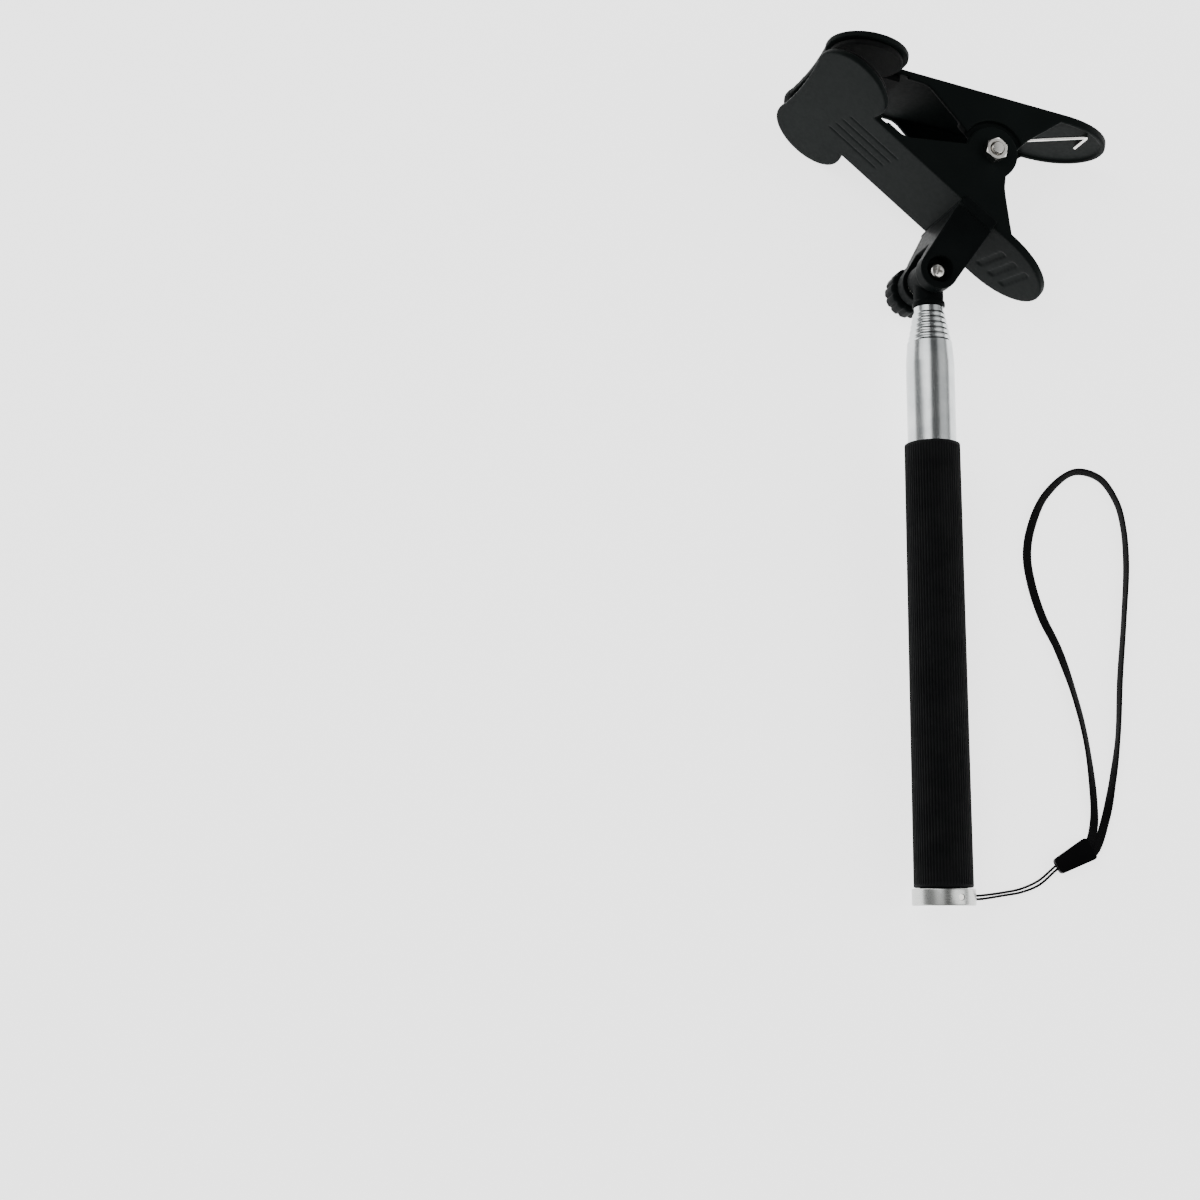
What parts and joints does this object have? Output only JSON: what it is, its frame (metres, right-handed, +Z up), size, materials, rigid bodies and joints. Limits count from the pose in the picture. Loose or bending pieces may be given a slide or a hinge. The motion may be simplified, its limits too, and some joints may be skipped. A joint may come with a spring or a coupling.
{
  "type": "selfie stick",
  "caption": "Telescopic hand-held stick, collapsed, with a sprung two-jaw clamp on a tilt hinge, a ribbed grip, a bright end cap and a wrist strap.",
  "frame": {"origin": "middle of the footprint of everything but the free strap, on the table plane", "axes": "+Z up, +Y along the pole from the end cap towards the clamp, seen from above; the pole itself rises about 4 degrees towards the clamp"},
  "size_m": [0.1355, 0.3254, 0.0829],
  "materials": {
    "black_plastic": "satin moulded",
    "slider_plastic": "satin moulded",
    "grip_rubber": "matte, fine ribs along it",
    "pad_rubber": "matte, ribbed",
    "tube_aluminium": "satin bright",
    "cap_aluminium": "turned and brushed",
    "bright_steel": "nickel plated",
    "ring_brass": "rolled",
    "white_nylon": "natural nylon",
    "strap_fabric": "woven, matte"
  },
  "bodies": {
    "handle": {"grip_sleeve": "grip_rubber", "tube_1": "tube_aluminium", "end_cap": "cap_aluminium", "lanyard_pin": "bright_steel", "lanyard_string": "strap_fabric", "strap_slider": "slider_plastic", "strap_loop": "strap_fabric"},
    "stage_2": {"tube_2": "tube_aluminium", "friction_ring_2": "ring_brass"},
    "stage_3": {"tube_3": "tube_aluminium", "friction_ring_3": "ring_brass"},
    "stage_4": {"tube_4": "tube_aluminium", "friction_ring_4": "ring_brass"},
    "stage_5": {"tube_5": "tube_aluminium", "friction_ring_5": "ring_brass"},
    "stage_6": {"tube_6": "tube_aluminium", "friction_ring_6": "ring_brass"},
    "stage_7": {"tube_7": "tube_aluminium", "friction_ring_7": "ring_brass"},
    "head": {"neck": "black_plastic"},
    "clamp": {"front_jaw": "black_plastic", "front_pad": "pad_rubber", "tilt_bracket": "black_plastic", "bracket_screw_1": "bright_steel", "bracket_screw_2": "bright_steel", "hinge_bolt": "bright_steel", "hinge_washer_1": "white_nylon", "hinge_washer_2": "white_nylon", "knob_washer": "bright_steel", "pivot_bolt": "bright_steel", "pivot_nut": "bright_steel", "spacer_sleeve": "white_nylon", "torsion_spring": "bright_steel"},
    "back_half": {"back_jaw": "black_plastic", "back_pad": "pad_rubber"},
    "knob": {"thumb_nut": "black_plastic", "thumb_nut_insert": "ring_brass"}
  },
  "joints": [
    {"name": "slide_2", "type": "slide", "parent": "handle", "child": "stage_2", "axis": [0, 0.9977, 0.0673], "range_m": [0, 0.145]},
    {"name": "slide_3", "type": "slide", "parent": "stage_2", "child": "stage_3", "axis": [0, 0.9977, 0.0673], "range_m": [0, 0.145]},
    {"name": "slide_4", "type": "slide", "parent": "stage_3", "child": "stage_4", "axis": [0, 0.9977, 0.0673], "range_m": [0, 0.145]},
    {"name": "slide_5", "type": "slide", "parent": "stage_4", "child": "stage_5", "axis": [0, 0.9977, 0.0673], "range_m": [0, 0.145]},
    {"name": "slide_6", "type": "slide", "parent": "stage_5", "child": "stage_6", "axis": [0, 0.9977, 0.0673], "range_m": [0, 0.145]},
    {"name": "slide_7", "type": "slide", "parent": "stage_6", "child": "stage_7", "axis": [0, 0.9977, 0.0673], "range_m": [0, 0.145]},
    {"name": "head_turn", "type": "hinge", "parent": "stage_7", "child": "head", "pos_m": [-0.00851, 0.06751, 0.02732], "axis": [0, 0.9977, 0.0673], "continuous": true},
    {"name": "tilt", "type": "hinge", "parent": "head", "child": "clamp", "pos_m": [-0.00851, 0.07908, 0.02811], "axis": [0.2368, -0.0654, 0.9694], "range_deg": [-50, 130]},
    {"name": "jaw_open", "type": "hinge", "parent": "clamp", "child": "back_half", "pos_m": [0.01104, 0.12507, 0.02643], "axis": [-0.2368, 0.0654, -0.9694], "range_deg": [0, 60], "stiffness_Nm_per_rad": 0.35, "springref_deg": -91.67, "deforming": ["torsion_spring"]},
    {"name": "nut_turn", "type": "hinge", "parent": "clamp", "child": "knob", "pos_m": [-0.01301, 0.08032, 0.00969], "axis": [0.2368, -0.0654, 0.9694], "continuous": true}
  ]
}
